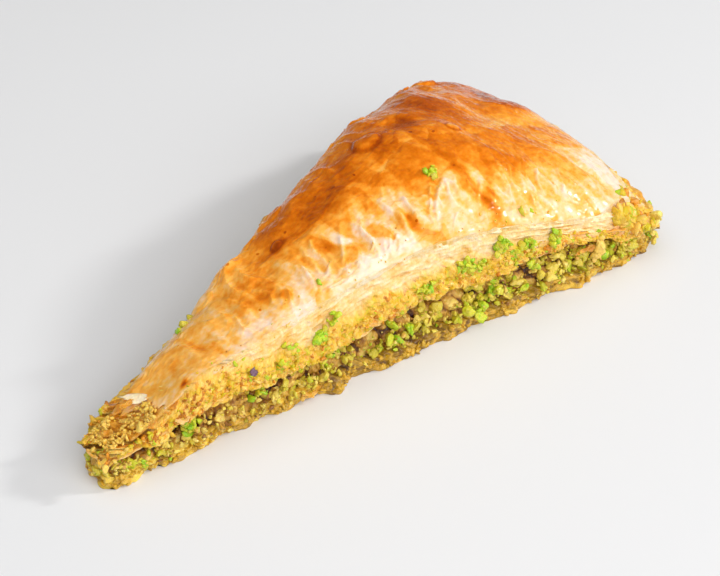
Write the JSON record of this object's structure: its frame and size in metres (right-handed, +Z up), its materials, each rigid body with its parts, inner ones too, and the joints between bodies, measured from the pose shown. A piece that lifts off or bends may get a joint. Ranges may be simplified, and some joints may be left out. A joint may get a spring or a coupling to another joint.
{
  "type": "long wedge slice of layered pistachio pastry",
  "caption": "Long narrow wedge of baked phyllo pastry with a puffed syrup-glazed top and a course of chopped pistachio.",
  "frame": {"origin": "middle of the bounding box at the flat underside, on the table", "axes": "+Z up; +X along the slice from its narrow tip to the wide end at the tray's rim; -Y is the cut side seen in the picture"},
  "size_m": [0.1574, 0.0746, 0.0369],
  "materials": {
    "soaked_phyllo": "thin baked dough sheets soaked with syrup",
    "chopped_pistachio": "coarsely chopped nuts, moist with syrup",
    "glazed_phyllo": "golden baked dough sheets under a clear syrup glaze"
  },
  "bodies": {
    "root": {"bottom_phyllo": "soaked_phyllo", "pistachio_filling": "chopped_pistachio", "top_phyllo": "glazed_phyllo"}
  },
  "joints": []
}
